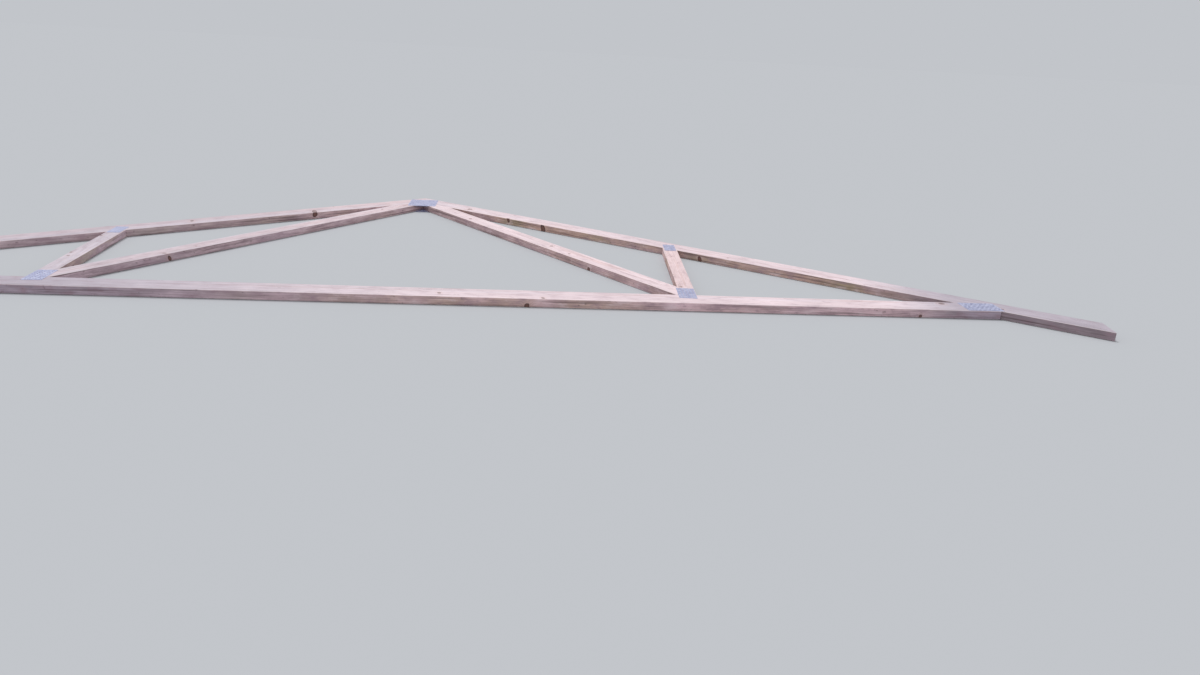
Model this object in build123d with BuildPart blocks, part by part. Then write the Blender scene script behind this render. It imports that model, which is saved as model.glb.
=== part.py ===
from build123d import *
import os
from math import atan2, cos, degrees, radians, sin, tan

os.makedirs("parts", exist_ok=True)

# A timber roof truss lying flat on its side: X runs along the bottom chord, Y from the
# chord to the ridge, Z is up through the thickness. Millimetres and degrees.

# Overall shape
span = 5200.0  # heel point to heel point, along the bottom chord's lower edge
pitch = 37.5  # slope of the rafters
overhang = 418.0  # rafter tail past the heel point, along its underside
tail_cut = 79.0  # angle of the tail's end cut from the chord's direction
heel_tip = 6.0  # height of the blunt end left on the chord's tapered tip

# Sawn timber
timber_thickness = 35.0
rafter_depth = 120.0
chord_depth = 120.0
web_depth = 90.0
strut_depth = 70.0
arris_radius = 2.0  # eased long edges of the planed boards
saw_waste = 2.0  # board past each end before the saw cuts, in board depths

# Where the inner timbers meet the chord and the rafters
strut_foot = 1290.0  # centre of the truss to the strut's centre line, at the chord
strut_head = 1342.0  # the same at the rafter's underside
web_toe = 15.0  # foot of the long web that stands on the chord, inside the strut
web_crotch = 44.0  # long webs' lower edges meet this far below the rafters' inside corner

# Nail plates, width across and length along their slots
plate_thickness = 1.0
apex_plate_width = 160.0
apex_plate_length = 195.0
apex_plate_drop = 12.0  # plate's centre below the rafters' inside corner
heel_plate_width = 110.0
heel_plate_length = 155.0
heel_plate_shift = 10.0  # plate's centre outside the middle of the heel joint
chord_plate_width = 75.0
chord_plate_length = 150.0
chord_plate_lap = 50.0  # reach of the plate onto the chord
chord_plate_offset = 5.0  # plate's centre inside the strut's centre line
rafter_plate_width = 58.0
rafter_plate_length = 130.0
rafter_plate_lap = 90.0  # reach of the plate onto the rafter

# Slots that the teeth are punched from
slot_width = 3.2
slot_length = 10.0
slot_column_pitch = 14.0
slot_row_pitch = 20.0
slot_margin = 4.0  # least steel between a slot and the plate's edge

# Working points, measured from the middle of the chord's lower edge
rise = span / 2 * tan(radians(pitch))  # rafters' inside corner
ridge = rise + rafter_depth / cos(radians(pitch))
tail_x = span / 2 + overhang * cos(radians(pitch))
tail_y = -overhang * sin(radians(pitch))
middle_y = (tail_y + ridge) / 2  # centre of the whole outline


def spot(x, y, z=plate_thickness):
    """Point of the truss, moved so that the outline is centred on the origin."""
    return Vector(x, y - middle_y, z)


def saw(point, normal_x, normal_y):
    """Upright cutting plane through a point, whose normal points at the waste."""
    return Plane(origin=point, z_dir=(normal_x, normal_y, 0))


def underside(x):
    """Point on the right rafter's underside."""
    return spot(x, (span / 2 - x) * tan(radians(pitch)))


heel = spot(span / 2, 0)
inner_apex = spot(0, rise)
tail = spot(tail_x, tail_y)
foot = spot(strut_foot, chord_depth)
head = underside(strut_head)
strut_axis = (head - foot).normalized()
strut_out = Vector(strut_axis.Y, -strut_axis.X, 0)
strut_inside = foot - strut_out * (strut_depth / 2)
web_heel = spot(strut_foot - strut_depth / 2 / strut_axis.Y - web_toe, chord_depth)
crotch = spot(0, rise - web_crotch)
tip_x = span / 2 - heel_tip / tan(radians(pitch))

rafter_saw = saw(heel, sin(radians(pitch)), cos(radians(pitch)))
left_rafter_saw = saw(spot(-span / 2, 0), -sin(radians(pitch)), cos(radians(pitch)))
tip_saw = saw(spot(tip_x, 0), 1, 0)
left_tip_saw = saw(spot(-tip_x, 0), -1, 0)
tail_saw = saw(tail, sin(radians(tail_cut)), -cos(radians(tail_cut)))
centre_saw = saw(inner_apex, -1, 0)
chord_saw = saw(foot, 0, -1)
strut_saw = saw(strut_inside, strut_out.X, strut_out.Y)


def timber(name, start, end, depth, cuts, seat=Align.MIN):
    """Board with eased long edges, lying from start to end, sawn off at the given planes."""
    run = end - start
    lay = Plane(origin=(start + end) / 2, x_dir=run, z_dir=(0, 0, 1))
    with BuildPart() as board:
        with BuildSketch(lay):
            Rectangle(run.length + 2 * saw_waste * depth, depth, align=(Align.CENTER, seat))
        extrude(amount=timber_thickness)
        fillet(board.edges().filter_by(Axis(start, run)), arris_radius)
        for cut in cuts:
            split(bisect_by=cut, keep=Keep.BOTTOM)
    finish(name, board)
    return board


def nail_plate(name, width, length, lay):
    """Steel plate punched in columns of slots, each column half a pitch off the last."""
    columns = int((width - 2 * slot_margin - slot_width) / slot_column_pitch) + 1
    rows = int((length - 2 * slot_margin - slot_length - slot_row_pitch / 2) / slot_row_pitch) + 1
    with BuildPart() as plate:
        with BuildSketch(lay):
            Rectangle(width, length)
            for column in range(columns):
                across = (column - (columns - 1) / 2) * slot_column_pitch
                along = slot_row_pitch / 4 * (-1) ** column
                with Locations((across, along)):
                    with GridLocations(slot_column_pitch, slot_row_pitch, 1, rows):
                        Rectangle(slot_width, slot_length, mode=Mode.SUBTRACT)
        extrude(amount=plate_thickness)
    finish(name, plate)


def finish(name, piece):
    """Label a piece and write it."""
    piece.part.label = name
    export_step(piece.part, f"parts/{name}.step")


# Timbers of the middle and of the right half
timber(
    "bottom_chord", spot(-span / 2, 0), heel, chord_depth,
    [rafter_saw, left_rafter_saw, tip_saw, left_tip_saw],
)
rafter = timber("rafter_right", inner_apex, tail, rafter_depth, [centre_saw, tail_saw])
web = timber(
    "web_right", crotch, web_heel, web_depth, [centre_saw, rafter_saw, chord_saw, strut_saw]
)
strut = timber(
    "strut_right", head, foot, strut_depth, [rafter_saw, chord_saw], seat=Align.CENTER
)

# The left half mirrors it
for right_piece in (rafter, web, strut):
    with BuildPart() as left_piece:
        mirror(right_piece.part, about=Plane.YZ)
    finish(right_piece.part.label.replace("right", "left"), left_piece)

# Plate centres of the right half, each with the turn of its slots from the Y axis
lean = degrees(atan2(strut_axis.X, strut_axis.Y))
chord_corner = spot(span / 2 - chord_depth / tan(radians(pitch)), chord_depth)
heel_joint = (heel + chord_corner) / 2 + Vector(heel_plate_shift, 0, 0)
chord_joint = (
    foot + strut_axis * (chord_plate_length / 2 - chord_plate_lap) - strut_out * chord_plate_offset
)
rafter_joint = head + strut_axis * (rafter_plate_lap - rafter_plate_length / 2)
joints = [
    ("heel", heel_joint, 90, heel_plate_width, heel_plate_length),
    ("chord", chord_joint, lean, chord_plate_width, chord_plate_length),
    ("rafter", rafter_joint, lean, rafter_plate_width, rafter_plate_length),
]

# One plate on each face of every joint
for face, level in (("bottom", 0), ("top", plate_thickness + timber_thickness)):
    apex_lay = Plane(origin=spot(0, rise - apex_plate_drop, level))
    nail_plate(f"plate_apex_{face}", apex_plate_width, apex_plate_length, apex_lay)
    for side, sign in (("left", -1), ("right", 1)):
        for joint, centre, turn, width, length in joints:
            across = (cos(radians(turn)), -sign * sin(radians(turn)), 0)
            lay = Plane(origin=(sign * centre.X, centre.Y, level), x_dir=across, z_dir=(0, 0, 1))
            nail_plate(f"plate_{joint}_{side}_{face}", width, length, lay)
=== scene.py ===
"""Dresses a timber roof truss that lies flat: weathered softwood, galvanised nail plates with
their bent teeth, a plain studio and the photograph's camera. Metres, in the part's frame."""

from math import atan2, cos, hypot, pi, radians, sin

import bmesh
import bpy
from mathutils import Matrix, Vector


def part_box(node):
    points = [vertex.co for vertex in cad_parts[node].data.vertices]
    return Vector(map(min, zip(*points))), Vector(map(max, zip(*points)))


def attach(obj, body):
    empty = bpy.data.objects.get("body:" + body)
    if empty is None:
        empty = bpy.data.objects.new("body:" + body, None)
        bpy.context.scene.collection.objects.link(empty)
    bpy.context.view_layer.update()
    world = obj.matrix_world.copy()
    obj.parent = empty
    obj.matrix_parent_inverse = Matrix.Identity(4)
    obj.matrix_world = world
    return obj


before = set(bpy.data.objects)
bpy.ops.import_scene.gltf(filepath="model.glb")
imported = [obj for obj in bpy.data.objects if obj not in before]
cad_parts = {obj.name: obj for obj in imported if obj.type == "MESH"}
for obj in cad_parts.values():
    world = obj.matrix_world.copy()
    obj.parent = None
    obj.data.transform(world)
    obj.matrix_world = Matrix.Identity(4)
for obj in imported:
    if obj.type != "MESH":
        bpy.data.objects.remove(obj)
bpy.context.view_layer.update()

UP = Vector((0.0, 0.0, 1.0))


# Shader nodes

MIX_UNDER, MIX_OVER, MIXED = 6, 7, 2  # a colour mix node's two colour inputs and its output


class Nodes:
    """Adds shader nodes to one tree. A value is a number or another node's socket."""

    def __init__(self, tree):
        self.tree = tree

    def node(self, kind, **settings):
        made = self.tree.nodes.new("ShaderNode" + kind)
        for name, value in settings.items():
            setattr(made, name, value)
        return made

    def plug(self, socket, value):
        if isinstance(value, bpy.types.NodeSocket):
            self.tree.links.new(value, socket)
        else:
            socket.default_value = value

    def fill(self, made, values):
        """Plug values into a node's sockets, in order or by name, and give back its outputs."""
        places = values if isinstance(values, dict) else dict(enumerate(values))
        for place, value in places.items():
            self.plug(made.inputs[place], value)
        return made.outputs

    def math(self, operation, *values, clamp=False):
        return self.fill(self.node("Math", operation=operation, use_clamp=clamp), values)[0]

    def plus(self, first, second):
        return self.math("ADD", first, second)

    def minus(self, first, second):
        return self.math("SUBTRACT", first, second)

    def times(self, first, second):
        return self.math("MULTIPLY", first, second)

    def scaled(self, value, factor, added, clamp=False):
        """The value times the factor, and something added to it."""
        return self.math("MULTIPLY_ADD", value, factor, added, clamp=clamp)

    def greater(self, first, second):
        return self.math("MAXIMUM", first, second)

    def unsigned(self, value):
        return self.math("ABSOLUTE", value)

    def smooth(self, value, low, high):
        """0 at low, 1 at high and a soft curve between them."""
        made = self.node("MapRange", interpolation_type="SMOOTHSTEP")
        return self.fill(made, (value, low, high, 0.0, 1.0))[0]

    def vector(self, x, y, z):
        return self.fill(self.node("CombineXYZ"), (x, y, z))[0]

    def split(self, vector):
        return self.fill(self.node("SeparateXYZ"), (vector,))

    def vector_math(self, operation, *vectors):
        return self.fill(self.node("VectorMath", operation=operation), vectors)

    def dot(self, vector, direction):
        return self.vector_math("DOT_PRODUCT", vector, direction)["Value"]

    def length(self, vector):
        return self.vector_math("LENGTH", vector)["Value"]

    def stretch(self, vector, factors):
        return self.vector_math("MULTIPLY", vector, factors)["Vector"]

    def noise(self, vector, scale=1.0, detail=2.0, roughness=0.5):
        values = {"Vector": vector, "Scale": scale, "Detail": detail, "Roughness": roughness}
        return self.fill(self.node("TexNoise"), values)[0]

    def mix(self, factor, under, over, blend="MIX"):
        made = self.node("Mix", data_type="RGBA", blend_type=blend)
        return self.fill(made, {0: factor, MIX_UNDER: under, MIX_OVER: over})[MIXED]

    def group(self, tree, values):
        return self.fill(self.node("Group", node_tree=tree), values)


def srgb(red, green, blue):
    """Linear colour, by the sRGB curve, of a tone as it reads on a screen, 0 to 255."""
    def linear(level):
        level /= 255
        return level / 12.92 if level <= 0.04045 else ((level + 0.055) / 1.055) ** 2.4

    return (linear(red), linear(green), linear(blue), 1.0)


def floats(*names):
    """Sockets that each hold a number, for new_group."""
    return dict.fromkeys(names, "Float")


def new_group(name, inputs, outputs):
    """Empty node group with its own sockets: name to kind, such as Float or Color."""
    tree = bpy.data.node_groups.new(name, "ShaderNodeTree")
    for way, sockets in (("INPUT", inputs), ("OUTPUT", outputs)):
        for label, kind in sockets.items():
            tree.interface.new_socket(label, in_out=way, socket_type="NodeSocket" + kind)
    given = tree.nodes.new("NodeGroupInput").outputs
    result = tree.nodes.new("NodeGroupOutput").inputs
    return tree, Nodes(tree), given, result


def new_material(name):
    """Material, the helper for its nodes and the sockets of its shader."""
    material = bpy.data.materials.new(name)
    material.use_nodes = True
    tree = material.node_tree
    return material, Nodes(tree), tree.nodes["Principled BSDF"].inputs


def add_bump(n, shader, height, strength, distance):
    bump = n.fill(n.node("Bump"), {"Height": height, "Strength": strength, "Distance": distance})
    n.plug(shader["Normal"], bump["Normal"])


# Tones of the softwood

# The blue-violet cast of the pale and greyed wood tones is a painted tint of blue sky light
FRESH = srgb(251, 232, 239)
BLEACHED = srgb(246, 238, 248)
HEARTWOOD = srgb(244, 215, 215)
LATEWOOD = srgb(220, 182, 172)
GREYED = srgb(186, 177, 190)
# Edge tones sit darker than the face tones, partly from weathering and partly as painted shade on
# the upright sides
EDGE_PINK = srgb(248, 212, 222)
EDGE_BROWN = srgb(210, 174, 172)
EDGE_WARM = srgb(238, 196, 166)
EDGE_GREEN = srgb(178, 162, 112)
EDGE_GREY = srgb(172, 160, 178)
# Painted shade that darkens the edges of some boards
EDGE_PAINTED_SHADE = srgb(112, 98, 104)
END_GRAIN = srgb(214, 186, 176)
STAIN = srgb(92, 70, 74)
BLOTCH = srgb(170, 142, 154)
FLECK = srgb(248, 228, 234)
KNOT_HEART = srgb(112, 74, 66)
KNOT_BARK = srgb(50, 34, 36)
# Painted highlight along the eased arris between a board's top and its sides
PAINTED_ARRIS_HIGHLIGHT = srgb(250, 232, 224)

# A name that ends in STEP holds where a soft step of a value starts and where it is full

# Knots: each is a branch whose heart has a ring of bark, and the grain flows round it
KNOT_VALUES = ("Heart", "Bark", "Flow")
KNOT_RADIUS_SMALL = 0.004
KNOT_RADIUS_LARGE = 0.014
KNOT_RADIUS_LEAST = 0.0005
KNOT_BIAS = 1.6  # above 1, small knots are commoner than large ones
KNOT_LEAN = 0.35  # along the board for each metre out from the pith
KNOT_TAPER = 14.0  # share of its full radius that a branch gains in each metre out
KNOT_ROOT = 0.25  # share of its full radius at the pith
KNOT_START_STEP = (0.0, 0.006)  # metres out from the pith
KNOT_BUMPS = 70.0  # waves of a knot's outline in each metre
KNOT_UNEVENNESS = 0.7  # share of the radius that the outline strays over
HEART_STEP = (1.0, 0.85)  # shares of the radius
BARK_STEP = (0.26, 0.04)
FLOW_STEP = (3.6, 0.9)

WHORL_SPACING = 0.55
WHORL_PLAY = 0.5  # share of the spacing that a knot's place varies over
SECOND_WHORLS_SHIFT = 0.4  # share of the spacing
SECOND_WHORLS_SEED = 40.5


def branch_group():
    """One knot: a branch that leaves the pith sideways and thickens on its way out."""
    tree, n, given, result = new_group(
        "branch", floats("Along", "Across", "Through", "Angle", "Size"), floats(*KNOT_VALUES)
    )
    across, through = given["Across"], given["Through"]
    cosine = n.math("COSINE", given["Angle"])
    sine = n.math("SINE", given["Angle"])
    outward = n.plus(n.times(across, cosine), n.times(through, sine))
    sideways = n.minus(n.times(through, cosine), n.times(across, sine))
    along = n.minus(given["Along"], n.times(outward, KNOT_LEAN))
    bumps = n.noise(n.vector(along, sideways, outward), scale=KNOT_BUMPS)
    wobble = n.scaled(bumps, KNOT_UNEVENNESS, 1 - KNOT_UNEVENNESS / 2)
    distance = n.times(n.length(n.vector(along, sideways, 0.0)), wobble)
    radius = n.times(n.scaled(outward, KNOT_TAPER, KNOT_ROOT, clamp=True), given["Size"])
    share = n.math("DIVIDE", distance, n.greater(radius, KNOT_RADIUS_LEAST))
    from_rim = n.unsigned(n.minus(share, 1.0))
    started = n.smooth(outward, *KNOT_START_STEP)
    n.plug(result["Heart"], n.times(n.smooth(share, *HEART_STEP), started))
    n.plug(result["Bark"], n.times(n.smooth(from_rim, *BARK_STEP), started))
    n.plug(result["Flow"], n.times(n.smooth(share, *FLOW_STEP), started))
    return tree


def whorl_group(branch):
    """Knots at uneven steps along a board, one for each step, from one seed."""
    tree, n, given, result = new_group(
        "whorls", floats("Along", "Across", "Through", "Seed"), floats(*KNOT_VALUES)
    )
    steps = n.math("DIVIDE", given["Along"], WHORL_SPACING)
    step = n.math("FLOOR", steps)
    dice = n.node("TexWhiteNoise", noise_dimensions="2D")
    n.plug(dice.inputs["Vector"], n.vector(step, given["Seed"], 0.0))
    first, second, third = n.split(dice.outputs["Color"])
    middle = n.scaled(first, WHORL_PLAY, (1 - WHORL_PLAY) / 2)
    spread = KNOT_RADIUS_LARGE - KNOT_RADIUS_SMALL
    knot = n.group(branch, {
        "Along": n.times(n.minus(n.minus(steps, step), middle), WHORL_SPACING),
        "Across": given["Across"],
        "Through": given["Through"],
        "Angle": n.times(second, 2 * pi),
        "Size": n.scaled(n.math("POWER", third, KNOT_BIAS), spread, KNOT_RADIUS_SMALL),
    })
    for name in KNOT_VALUES:
        n.plug(result[name], knot[name])
    return tree


# Year rings, which widen round a knot, and the pith that they grow about

RING_WIDTH = 0.0046
RING_RIPPLE = 0.009
RING_RIPPLE_WAVES = (2.2, 24.0, 24.0)  # in each metre along, across and through the board
RING_RIPPLE_DETAIL = 3.0
RING_BULGE = 0.007  # at a knot
LATE_START_STEP = (0.35, 0.9)  # shares of a year's ring
LATE_STOP_STEP = (1.0, 0.93)
HEARTWOOD_STEP = (0.062, 0.0372)  # metres from the pith
PITH_WAVES = (0.7, 0.0, 0.0)
PITH_DETAIL = 1.0
PITH_SWAY = 0.06
PITH_SWAY_THROUGH = 0.6  # share of the sway across the board
FIBRE_WAVES = (9.0, 1100.0, 1100.0)
NOISE_MIDDLE = 0.5


def growth_group(whorls):
    """What grew: year rings about the pith, fibres, and the knots that they flow round."""
    tree, n, given, result = new_group(
        "growth",
        {"Grain": "Vector", **floats("Seed", "Pith across", "Pith through", *KNOT_VALUES)},
        floats("Late", "Old", "Fibre", *KNOT_VALUES),
    )
    grain, seed = given["Grain"], given["Seed"]
    along, across, through = n.split(grain)
    wander = n.noise(n.stretch(grain, PITH_WAVES), detail=PITH_DETAIL)
    sway = n.times(n.minus(wander, NOISE_MIDDLE), PITH_SWAY)
    from_pith = n.minus(n.minus(across, given["Pith across"]), sway)
    above_pith = n.plus(n.minus(through, given["Pith through"]), n.times(sway, PITH_SWAY_THROUGH))
    first = n.group(whorls, {
        "Along": along,
        "Across": from_pith,
        "Through": above_pith,
        "Seed": seed,
    })
    second = n.group(whorls, {
        "Along": n.plus(along, SECOND_WHORLS_SHIFT * WHORL_SPACING),
        "Across": from_pith,
        "Through": above_pith,
        "Seed": n.plus(seed, SECOND_WHORLS_SEED),
    })
    knots = {
        name: n.greater(given[name], n.greater(first[name], second[name])) for name in KNOT_VALUES
    }
    radius = n.length(n.vector(from_pith, above_pith, 0.0))
    uneven = n.noise(n.stretch(grain, RING_RIPPLE_WAVES), detail=RING_RIPPLE_DETAIL)
    rippled = n.plus(radius, n.times(uneven, RING_RIPPLE))
    grown = n.plus(rippled, n.times(knots["Flow"], RING_BULGE))
    year = n.math("FRACT", n.math("DIVIDE", grown, RING_WIDTH))
    late = n.times(n.smooth(year, *LATE_START_STEP), n.smooth(year, *LATE_STOP_STEP))
    n.plug(result["Late"], late)
    n.plug(result["Old"], n.smooth(grown, *HEARTWOOD_STEP))
    n.plug(result["Fibre"], n.noise(n.stretch(grain, FIBRE_WAVES)))
    for name in KNOT_VALUES:
        n.plug(result[name], knots[name])
    return tree


# Weather on the boards

# Each pattern's waves in a metre along the grain and in one across it, its detail and roughness
PATTERNS = {
    "weather": (1.1, 11.0, 3.0, 0.5),
    "patch": (2.6, 6.0, 3.0, 0.5),
    "damp": (3.4, 15.0, 4.0, 0.6),
    "mottle": (8.0, 34.0, 3.0, 0.5),
    "streak": (2.2, 95.0, 4.0, 0.6),
    "hairline": (6.0, 330.0, 2.0, 0.5),
    "speck": (48.0, 75.0, 2.0, 0.5),
    "blotch": (15.0, 46.0, 4.0, 0.65),
    "crack": (1.7, 120.0, 3.0, 0.5),
}
SEED_STRIDE = 3.7  # metres between two boards' places in the patterns

# How far each pattern lightens and darkens the wood, on a board's faces and on its edges
SHADING = {"fibre": (0.2, 0.3), "mottle": (0.32, 0.95), "patch": (0.26, 0.5)}

# Each mark's pattern and its step, how strong it is on faces and on edges, and its tone
MARKS = (
    ("blotch", (0.48, 0.68), (0.30, 0.65), BLOTCH),
    ("streak", (0.52, 0.68), (0.12, 0.66), STAIN),
    ("hairline", (0.56, 0.72), (0.12, 0.42), STAIN),
    ("speck", (0.66, 0.78), (0.25, 0.50), STAIN),
)

# Sides of a board, by how far its surface looks upward or along the board
UPRIGHT_STEP = (0.55, 0.25)
ARRIS_START_STEP = (0.12, 0.3)
ARRIS_STOP_STEP = (0.985, 0.9)
END_STEP = (0.5, 0.8)

# Shares in which one tone covers another
EDGE_COVER = 0.92
END_COVER = 0.85
ARRIS_HIGHLIGHT_COVER = 0.35
BLEACHING = 0.8
OLD_ON_FACE = 0.6
LATE_ON_FACE = 0.4
LATE_ON_EDGE = 0.22
LATE_ON_END = 0.6
GREY_ON_EDGE = 0.9
GREY_ON_END = 0.5
FLOW_COVER = 0.22
KNOT_COVER = (0.62, 0.92)  # on faces and on edges
CHECK_SHADE_COVER = 0.75

WEATHER_STEP = (0.25, 0.75)
WEATHER_GREYING = 0.25  # where a board doesn't lie exposed
BROWN_STEP = (0.35, 0.65)
WARM_STEP = (0.3, 0.55)
MOSS_STEP = (0.5, 0.66)
MOSS_ON_WARM = 0.7
MOSS_EVERYWHERE = 0.2
FLECK_STEP = (0.48, 0.32)
FLECK_ON_FRESH = 0.45
FLECK_LOST_TO_GREY = 0.4

CRACK_STEP = (0.011, 0.003)
CHECK_WEATHER_STEP = (0.6, 0.7)
CHECK_DAMP_STEP = (0.48, 0.6)
CHECK_END_STEP = (0.45, 0.0)  # metres from a board's end

WOOD_ROUGHNESS = 0.62
HAIRLINE_ROUGHNESS = 0.2
HEART_POLISH = 0.12
FIBRE_HEIGHT = 0.5
LATE_HEIGHT = 0.35
BARK_DEPTH = 0.6
WOOD_SPECULAR = 0.3
WOOD_BUMP = (0.5, 0.0005)  # strength, and depth in metres


def board_sides(n, given):
    """How far a point is on an upright edge, on an eased arris and on a sawn end."""
    normal = n.node("NewGeometry").outputs["Normal"]
    upward = n.unsigned(n.split(normal)[2])
    arris = n.times(n.smooth(upward, *ARRIS_START_STEP), n.smooth(upward, *ARRIS_STOP_STEP))
    end = n.smooth(n.unsigned(n.dot(normal, given["Heading"])), *END_STEP)
    edge = n.math("SUBTRACT", n.smooth(upward, *UPRIGHT_STEP), end, clamp=True)
    return edge, arris, end


def by_side(n, edge, on_face, on_edge):
    """A strength that goes from one value on a board's faces to another on its edges."""
    return n.scaled(edge, on_edge - on_face, on_face)


def face_tone(n, given, wood, grey):
    tone = n.mix(n.times(given["Exposed"], BLEACHING), FRESH, BLEACHED)
    tone = n.mix(n.times(wood["Old"], OLD_ON_FACE), tone, HEARTWOOD)
    tone = n.mix(n.times(wood["Late"], LATE_ON_FACE), tone, LATEWOOD)
    return n.mix(grey, tone, GREYED)


# Upright edges: weathered tones, kept darker than the faces partly as painted shade
def edge_tone(n, given, wood, grey, patterns):
    tone = n.mix(n.smooth(patterns["patch"], *BROWN_STEP), EDGE_PINK, EDGE_BROWN)
    warmth = n.times(n.smooth(patterns["damp"], *WARM_STEP), given["Warm"])
    tone = n.mix(warmth, tone, EDGE_WARM)
    most_moss = n.scaled(given["Warm"], MOSS_ON_WARM, MOSS_EVERYWHERE)
    tone = n.mix(n.times(n.smooth(patterns["patch"], *MOSS_STEP), most_moss), tone, EDGE_GREEN)
    tone = n.mix(n.times(grey, GREY_ON_EDGE), tone, EDGE_GREY)
    tone = n.mix(n.times(wood["Late"], LATE_ON_EDGE), tone, STAIN)
    # Painted shade on a board's edges, stronger where the board lies exposed
    painted_edge_shade = n.scaled(given["Edge shade"], given["Exposed"], given["Edge shade"])
    return n.mix(painted_edge_shade, tone, EDGE_PAINTED_SHADE)


def end_tone(n, wood, grey):
    tone = n.mix(n.times(wood["Late"], LATE_ON_END), END_GRAIN, STAIN)
    return n.mix(n.times(grey, GREY_ON_END), tone, EDGE_GREY)


def shade_and_mark(n, tone, edge, grey, patterns):
    """Uneven light and dark, pale flecks where the wood is fresh, blotches, streaks and specks."""
    for name, strengths in SHADING.items():
        depth = by_side(n, edge, *strengths)
        shade = n.scaled(n.minus(patterns[name], NOISE_MIDDLE), depth, 1.0)
        tone = n.mix(1.0, tone, n.vector(shade, shade, shade), blend="MULTIPLY")
    fresh = n.scaled(grey, -FLECK_LOST_TO_GREY, FLECK_ON_FRESH)
    tone = n.mix(n.times(n.smooth(patterns["blotch"], *FLECK_STEP), fresh), tone, FLECK)
    for name, step, strengths, mark in MARKS:
        depth = by_side(n, edge, *strengths)
        tone = n.mix(n.times(n.smooth(patterns[name], *step), depth), tone, mark)
    return tone


def drying_checks(n, given, patterns):
    """Fine cracks along the grain, near a board's ends and where weather has opened it."""
    from_end = n.minus(given["Half length"], n.unsigned(n.split(given["Grain"])[0]))
    weathered = n.smooth(patterns["weather"], *CHECK_WEATHER_STEP)
    opened = n.greater(n.smooth(from_end, *CHECK_END_STEP), weathered)
    crack = n.smooth(n.unsigned(n.minus(patterns["crack"], NOISE_MIDDLE)), *CRACK_STEP)
    return n.times(crack, n.times(opened, n.smooth(patterns["damp"], *CHECK_DAMP_STEP)))


def softwood_group(growth):
    """Planed pine that has lain outdoors: its growth, then weather, stains and checks, with painted
    shade on its edges and in its checks and a painted highlight on its arrises.
    """
    pith = ("Pith across", "Pith through")
    state = ("Half length", "Exposed", "Grey", "Warm", "Edge shade")
    tree, n, given, result = new_group(
        "softwood",
        {"Grain": "Vector", "Heading": "Vector", **floats("Seed", *pith, *state, *KNOT_VALUES)},
        {"Color": "Color", **floats("Roughness", "Height")},
    )
    wood = n.group(growth, {name: given[name] for name in ("Grain", "Seed", *pith, *KNOT_VALUES)})
    along, across, through = n.split(given["Grain"])
    apart = n.vector(n.scaled(given["Seed"], SEED_STRIDE, along), across, through)
    patterns = {
        name: n.noise(n.stretch(apart, (long, wide, wide)), detail=detail, roughness=roughness)
        for name, (long, wide, detail, roughness) in PATTERNS.items()
    }
    patterns["fibre"] = wood["Fibre"]
    in_places = n.times(n.smooth(patterns["weather"], *WEATHER_STEP), WEATHER_GREYING)
    grey = n.times(n.greater(given["Exposed"], in_places), given["Grey"])

    edge, arris, end = board_sides(n, given)
    tone = face_tone(n, given, wood, grey)
    tone = n.mix(n.times(edge, EDGE_COVER), tone, edge_tone(n, given, wood, grey, patterns))
    tone = n.mix(n.times(end, END_COVER), tone, end_tone(n, wood, grey))
    # Painted highlight on the arrises
    tone = n.mix(n.times(arris, ARRIS_HIGHLIGHT_COVER), tone, PAINTED_ARRIS_HIGHLIGHT)
    tone = shade_and_mark(n, tone, edge, grey, patterns)
    check = drying_checks(n, given, patterns)
    # Painted shade inside the checks: the cracks are darkened with the stain tone
    tone = n.mix(n.times(check, CHECK_SHADE_COVER), tone, STAIN)
    knot_cover = by_side(n, edge, *KNOT_COVER)
    tone = n.mix(n.times(wood["Flow"], FLOW_COVER), tone, LATEWOOD)
    tone = n.mix(n.times(wood["Heart"], knot_cover), tone, KNOT_HEART)
    n.plug(result["Color"], n.mix(n.times(wood["Bark"], knot_cover), tone, KNOT_BARK))

    dull = n.scaled(patterns["hairline"], HAIRLINE_ROUGHNESS, WOOD_ROUGHNESS)
    n.plug(result["Roughness"], n.minus(dull, n.times(wood["Heart"], HEART_POLISH)))
    ridges = n.plus(n.times(wood["Fibre"], FIBRE_HEIGHT), n.times(wood["Late"], LATE_HEIGHT))
    cut = n.greater(n.times(wood["Bark"], BARK_DEPTH), check)
    n.plug(result["Height"], n.minus(ridges, cut))
    return tree


# Boards

# Seed, pith across and through the board in metres, how far it greyed, how warm its edges
# are and how much painted shade darkens them
TIMBERS = {
    "bottom_chord": (9.0, 0.022, -0.046, 0.95, 0.1, 0.0),
    "rafter_left": (2.0, -0.030, 0.034, 0.66, 0.4, 0.0),
    "rafter_right": (3.0, 0.012, -0.060, 0.90, 0.8, 0.22),
    "web_left": (4.0, 0.000, 0.052, 0.60, 0.15, 0.06),
    "web_right": (5.0, 0.018, -0.030, 0.30, 0.3, 0.30),
    "strut_left": (6.0, -0.010, -0.040, 0.60, 0.95, 0.0),
    "strut_right": (7.0, 0.004, 0.030, 0.50, 0.5, 0.1),
}

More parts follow.
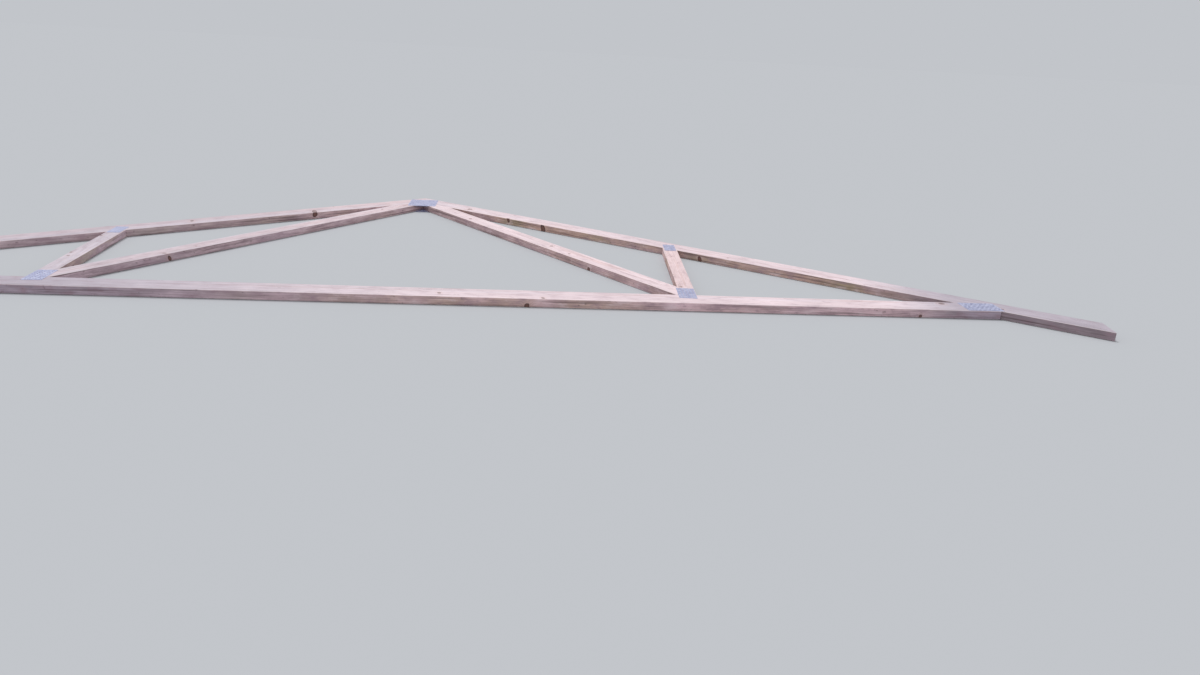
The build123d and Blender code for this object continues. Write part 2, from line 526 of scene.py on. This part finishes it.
# Knots in plain sight, from a board's middle: along, across, through and radius in metres
KNOTS = {
    "bottom_chord": (
        (0.620, -0.060, -0.012, 0.009),
        (0.684, -0.045, 0.0175, 0.006),
        (2.245, -0.060, -0.012, 0.006),
    ),
    "rafter_left": ((-1.113, 0.060, 0.006, 0.012),),
    "rafter_right": ((0.907, 0.060, -0.004, 0.013), (-0.062, 0.060, -0.006, 0.009)),
    "web_left": ((-0.597, -0.045, -0.005, 0.007), (-0.436, -0.011, 0.0175, 0.005)),
    "web_right": ((0.526, -0.045, -0.010, 0.008), (0.331, -0.013, 0.0175, 0.005)),
    "strut_left": ((-0.094, 0.015, 0.0175, 0.005), (0.305, 0.030, 0.0175, 0.006)),
    "strut_right": ((-0.249, -0.004, 0.0175, 0.006),),
}

# Places along the truss where the boards start to lie exposed, and where they fully do
EXPOSED_LEFT_STEP = (0.9, -1.5)
EXPOSED_RIGHT_STEP = (2.0, 2.5)

UPRIGHT_SLOPE = 0.01  # most that an upright face's direction rises


def grain_frame(node):
    """A board's directions along and across its grain, its middle in them and half its length."""
    sides = [face for face in node.data.polygons if abs(face.normal.z) < UPRIGHT_SLOPE]
    outward = max(sides, key=lambda face: face.area).normal
    along = Vector((-outward.y, outward.x, 0.0)).normalized()
    across = UP.cross(along)

    def reach(direction):
        steps = [vertex.co.dot(direction) for vertex in node.data.vertices]
        return (min(steps) + max(steps)) / 2, (max(steps) - min(steps)) / 2

    (along_middle, half_length), (across_middle, _) = reach(along), reach(across)
    return along, across, (along_middle, across_middle, reach(UP)[0]), half_length


def chosen_knots(n, branch, grain, pith, knots):
    """Knots that come out of a board at chosen places."""
    along, across, through = n.split(grain)
    from_pith = n.minus(across, pith[0])
    above_pith = n.minus(through, pith[1])
    found = dict.fromkeys(KNOT_VALUES, 0.0)
    for knot_along, knot_across, knot_through, radius in knots:
        sideways, upward = knot_across - pith[0], knot_through - pith[1]
        start = knot_along - KNOT_LEAN * hypot(sideways, upward)
        knot = n.group(branch, {
            "Along": n.minus(along, start),
            "Across": from_pith,
            "Through": above_pith,
            "Angle": atan2(upward, sideways),
            "Size": radius,
        })
        for name in KNOT_VALUES:
            found[name] = n.greater(knot[name], found[name])
    return found


def timber_material(name, softwood, branch):
    """Softwood whose grain runs along one board."""
    seed, pith_across, pith_through, grey, warm, edge_shade = TIMBERS[name]
    heading, across, middle, half_length = grain_frame(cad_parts[name])
    material, n, shader = new_material("timber_" + name)
    place = n.node("TexCoord").outputs["Object"]
    along_truss, _, height = n.split(place)
    steps = (n.dot(place, heading), n.dot(place, across), height)
    grain = n.vector(*(n.minus(step, centre) for step, centre in zip(steps, middle)))
    exposed_left = n.smooth(along_truss, *EXPOSED_LEFT_STEP)
    exposed_right = n.smooth(along_truss, *EXPOSED_RIGHT_STEP)
    wood = n.group(softwood, {
        "Grain": grain,
        "Heading": heading,
        "Seed": seed,
        "Pith across": pith_across,
        "Pith through": pith_through,
        "Half length": half_length,
        "Exposed": n.greater(exposed_left, exposed_right),
        "Grey": grey,
        "Warm": warm,
        "Edge shade": edge_shade,
        **chosen_knots(n, branch, grain, (pith_across, pith_through), KNOTS[name]),
    })
    n.plug(shader["Base Color"], wood["Color"])
    n.plug(shader["Roughness"], wood["Roughness"])
    n.plug(shader["Specular IOR Level"], WOOD_SPECULAR)
    add_bump(n, shader, wood["Height"], *WOOD_BUMP)
    return material


def dress_timbers():
    branch = branch_group()
    softwood = softwood_group(growth_group(whorl_group(branch)))
    for name in TIMBERS:
        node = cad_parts[name]
        node.data.materials.clear()
        node.data.materials.append(timber_material(name, softwood, branch))


# Galvanised steel

# The blue cast of the zinc tones is a painted reflection of a blue sky
ZINC = srgb(162, 166, 200)
ZINC_DULL = srgb(210, 212, 234)
ZINC_DARK = srgb(118, 122, 150)
ZINC_METALLIC = 0.5
ZINC_BUMP = (0.25, 0.0002)  # strength, and depth in metres

SPANGLE_SCALE = 130.0
SPANGLE_COVER = 0.9
SPANGLE_ROUGHNESS = 0.16  # what the dullest flake adds
LEAST_ROUGHNESS = 0.44
BLOOM_SCALE = 34.0
BLOOM_DETAIL = 5.0
BLOOM_EDGES = 0.6
BLOOM_STEP = (0.5, 0.75)
BLOOM_COVER = 0.5
BLOOM_ROUGHNESS = 0.2
RUB_WAVES = (900.0, 70.0, 70.0)
RUB_STEP = (0.62, 0.75)
RUB_COVER = 0.35


def galvanised_material():
    """Zinc with spangle, a dull bloom and fine rubs, in tones whose blue cast is a painted sky
    reflection.
    """
    material, n, shader = new_material("galvanised")
    place = n.node("TexCoord").outputs["Object"]
    spangle = n.node("TexVoronoi", feature="F1")
    flakes = n.fill(spangle, {"Vector": place, "Scale": SPANGLE_SCALE})
    flake = n.split(flakes["Color"])[0]
    bloom = n.noise(place, scale=BLOOM_SCALE, detail=BLOOM_DETAIL, roughness=BLOOM_EDGES)
    rub = n.noise(n.stretch(place, RUB_WAVES))
    tone = n.mix(n.times(flake, SPANGLE_COVER), ZINC, ZINC_DULL)
    tone = n.mix(n.times(n.smooth(bloom, *BLOOM_STEP), BLOOM_COVER), tone, ZINC_DULL)
    tone = n.mix(n.times(n.smooth(rub, *RUB_STEP), RUB_COVER), tone, ZINC_DARK)
    n.plug(shader["Base Color"], tone)
    n.plug(shader["Metallic"], ZINC_METALLIC)
    dull = n.scaled(flake, SPANGLE_ROUGHNESS, LEAST_ROUGHNESS)
    n.plug(shader["Roughness"], n.scaled(bloom, BLOOM_ROUGHNESS, dull, clamp=True))
    add_bump(n, shader, n.plus(flake, rub), *ZINC_BUMP)
    return material


# Teeth of the nail plates

TOOTH_SIDE_GAP = 0.0001
TOOTH_STEPS = 5
TOOTH_LENGTH = 0.008
TOOTH_TAPER = ((0.0, 1.0), (0.65, 0.85), (1.0, 0.15))  # share of the length, share of the width
TOOTH_CORNERS = ((0, -1), (1, -1), (1, 1), (0, 1))  # in plate thicknesses inward, and which side

WELD = 0.00001  # corners nearer than this are one
WALL_SLOPE = 0.3  # most that the direction of a slot's wall rises


def slots_of(node):
    """Middle, long direction, length and width of each slot punched through a plate."""
    mesh = bmesh.new()
    mesh.from_mesh(node.data)
    bmesh.ops.remove_doubles(mesh, verts=mesh.verts, dist=WELD)
    # Dictionaries keep their order, which sets don't, so every run makes the same teeth
    walls = dict.fromkeys(face for face in mesh.faces if abs(face.normal.z) < WALL_SLOPE)
    slots = []
    while walls:
        ring = [walls.popitem()[0]]
        for face in ring:  # the ring grows as the walls beside it are found
            for edge in face.edges:
                for beside in edge.link_faces:
                    if beside in walls:
                        del walls[beside]
                        ring.append(beside)
        corners = dict.fromkeys(vertex for face in ring for vertex in face.verts)
        sides = dict.fromkeys(edge for face in ring for edge in face.edges)
        level = [edge for edge in sides if abs(edge.verts[0].co.z - edge.verts[1].co.z) < WELD]
        longest = max(level, key=lambda edge: edge.calc_length())
        shortest = min(level, key=lambda edge: edge.calc_length())
        middle = sum((vertex.co for vertex in corners), Vector()) / len(corners)
        along = (longest.verts[1].co - longest.verts[0].co).normalized()
        slots.append((middle, along, longest.calc_length(), shortest.calc_length()))
    mesh.free()
    outline = max(slots, key=lambda slot: slot[2])
    slots.remove(outline)
    return sorted(slots, key=lambda slot: tuple(slot[0]))


def tooth(mesh, root, inward, width, thickness, outer_side):
    """Bend at a tooth's root: a quarter round from the plate's face down into the slot."""
    across = Vector((-inward.y, inward.x, 0.0)) * width / 2
    seat = root - UP * (outer_side * thickness / 2)
    rows = []
    for step in range(TOOTH_STEPS + 1):
        angle = pi / 2 * step / TOOTH_STEPS
        rise = UP * (outer_side * thickness * cos(angle))
        point = seat + inward * thickness * sin(angle) + rise
        rows.append((mesh.verts.new(point - across), mesh.verts.new(point + across)))
    foot = (mesh.verts.new(seat - across), mesh.verts.new(seat + across))
    for (a, b), (c, d) in zip(rows, rows[1:]):
        mesh.faces.new((a, b, d, c))
        mesh.faces.new((foot[0], a, c))
        mesh.faces.new((foot[1], d, b))
    mesh.faces.new((rows[-1][0], rows[-1][1], foot[1], foot[0]))
    mesh.faces.new((rows[0][1], rows[0][0], foot[0], foot[1]))


def free_tooth(mesh, root, inward, width, thickness, outer_side):
    """Tooth below its bend, where no board hides it: a blade that narrows to a point."""
    across = Vector((-inward.y, inward.x, 0.0)) * width / 2
    rows = []
    for share, narrowing in TOOTH_TAPER:
        level = root - UP * (outer_side * (thickness / 2 + TOOTH_LENGTH * share))
        rows.append([
            mesh.verts.new(level + inward * thickness * depth + across * side * narrowing)
            for depth, side in TOOTH_CORNERS
        ])
    for upper, lower in zip(rows, rows[1:]):
        for corner in range(len(TOOTH_CORNERS)):
            beside = (corner + 1) % len(TOOTH_CORNERS)
            mesh.faces.new((upper[corner], upper[beside], lower[beside], lower[corner]))
    mesh.faces.new(rows[0])
    mesh.faces.new(rows[-1])


def over_board(point, outer_side):
    """Whether a board lies behind this point of a plate."""
    inward = UP * -outer_side
    boards = (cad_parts[name] for name in TIMBERS)
    return any(board.ray_cast(point, inward, distance=TOOTH_LENGTH)[0] for board in boards)


def add_teeth(name, steel):
    """Bent roots of the teeth at both ends of every slot of a plate, and its free teeth."""
    low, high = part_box(name)
    thickness = high[2] - low[2]
    outer_side = 1 if name.endswith("top") else -1
    mesh = bmesh.new()
    for middle, along, length, width in slots_of(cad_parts[name]):
        for way in (-1, 1):
            root = middle + along * way * length / 2
            bent = (mesh, root, along * -way, width - 2 * TOOTH_SIDE_GAP, thickness, outer_side)
            tooth(*bent)
            if not over_board(root, outer_side):
                free_tooth(*bent)
    bmesh.ops.recalc_face_normals(mesh, faces=mesh.faces)
    data = bpy.data.meshes.new("teeth_" + name)
    mesh.to_mesh(data)
    mesh.free()
    for face in data.polygons:
        face.use_smooth = len(face.vertices) == 4  # the flat sides of a bend have three corners
    piece = bpy.data.objects.new("teeth_" + name, data)
    bpy.context.scene.collection.objects.link(piece)
    data.materials.append(steel)
    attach(piece, "root")


def dress_plates():
    steel = galvanised_material()
    for name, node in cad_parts.items():
        if name.startswith("plate_"):
            node.data.materials.clear()
            node.data.materials.append(steel)
            add_teeth(name, steel)


# Studio

FLOOR_TONE = srgb(196, 199, 204)
FLOOR_ROUGHNESS = 0.9
FLOOR_SIZE = 120.0
FLOOR_DROP = 0.0002
BACKGROUND = srgb(194, 197, 202)
SKY = srgb(255, 255, 255)
SKY_STRENGTH = 0.59
SUN_STRENGTH = 1.355
SUN_SPREAD = 16.0  # degrees
SUN_FROM = (-0.35, 0.45, 1.3)


def add_floor():
    bpy.ops.mesh.primitive_plane_add(size=FLOOR_SIZE, location=(0, 0, -FLOOR_DROP))
    floor = bpy.context.object
    floor.name = "floor"
    material, n, shader = new_material("floor")
    n.plug(shader["Base Color"], FLOOR_TONE)
    n.plug(shader["Roughness"], FLOOR_ROUGHNESS)
    n.plug(shader["Specular IOR Level"], 0.0)
    floor.data.materials.append(material)


def add_light():
    """Even sky light and a soft sun. The camera and reflections see the background's tone."""
    world = bpy.data.worlds.new("studio")
    bpy.context.scene.world = world
    world.use_nodes = True
    world.node_tree.nodes.clear()
    n = Nodes(world.node_tree)
    sky = n.fill(n.node("Background"), {"Color": SKY, "Strength": SKY_STRENGTH})[0]
    background = n.fill(n.node("Background"), {"Color": BACKGROUND})[0]
    ray = n.node("LightPath").outputs
    seen = n.greater(ray["Is Camera Ray"], ray["Is Glossy Ray"])
    mixed = n.fill(n.node("MixShader"), (seen, sky, background))[0]
    n.fill(n.node("OutputWorld"), {"Surface": mixed})

    lamp = bpy.data.lights.new("sun", "SUN")
    lamp.energy = SUN_STRENGTH
    lamp.angle = radians(SUN_SPREAD)
    sun = bpy.data.objects.new("sun", lamp)
    sun.rotation_euler = Vector(SUN_FROM).to_track_quat("Z", "Y").to_euler()
    bpy.context.scene.collection.objects.link(sun)


# Camera, measured from the middle of the bottom chord's front edge, with angles in radians

FOCAL_PIXELS = 885.0
FRAME_PIXELS = 1200.0
SENSOR = 36.0
CAMERA_FROM_CHORD = (0.593, -3.382)
CAMERA_HEIGHT = 1.027
CAMERA_YAW = 0.0961
CAMERA_PITCH = 0.3254
CAMERA_ROLL = 0.0545


def add_camera():
    """The photograph's camera: it stands in front of the chord and looks down over it."""
    forward = Vector((
        sin(CAMERA_YAW) * cos(CAMERA_PITCH), cos(CAMERA_YAW) * cos(CAMERA_PITCH), -sin(CAMERA_PITCH)
    ))
    level = Vector((cos(CAMERA_YAW), -sin(CAMERA_YAW), 0.0))
    upright = level.cross(forward)
    right = level * cos(CAMERA_ROLL) + upright * sin(CAMERA_ROLL)
    up = upright * cos(CAMERA_ROLL) - level * sin(CAMERA_ROLL)
    data = bpy.data.cameras.new("camera")
    data.sensor_width = SENSOR
    data.lens = SENSOR * FOCAL_PIXELS / FRAME_PIXELS
    camera = bpy.data.objects.new("camera", data)
    chord_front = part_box("bottom_chord")[0][1]
    place = (CAMERA_FROM_CHORD[0], chord_front + CAMERA_FROM_CHORD[1], CAMERA_HEIGHT)
    turn = Matrix((right, up, -forward)).transposed().to_4x4()
    camera.matrix_world = Matrix.Translation(place) @ turn
    bpy.context.scene.collection.objects.link(camera)
    bpy.context.scene.camera = camera


dress_timbers()
dress_plates()
add_floor()
add_light()
add_camera()
bpy.context.scene.view_settings.view_transform = "Standard"
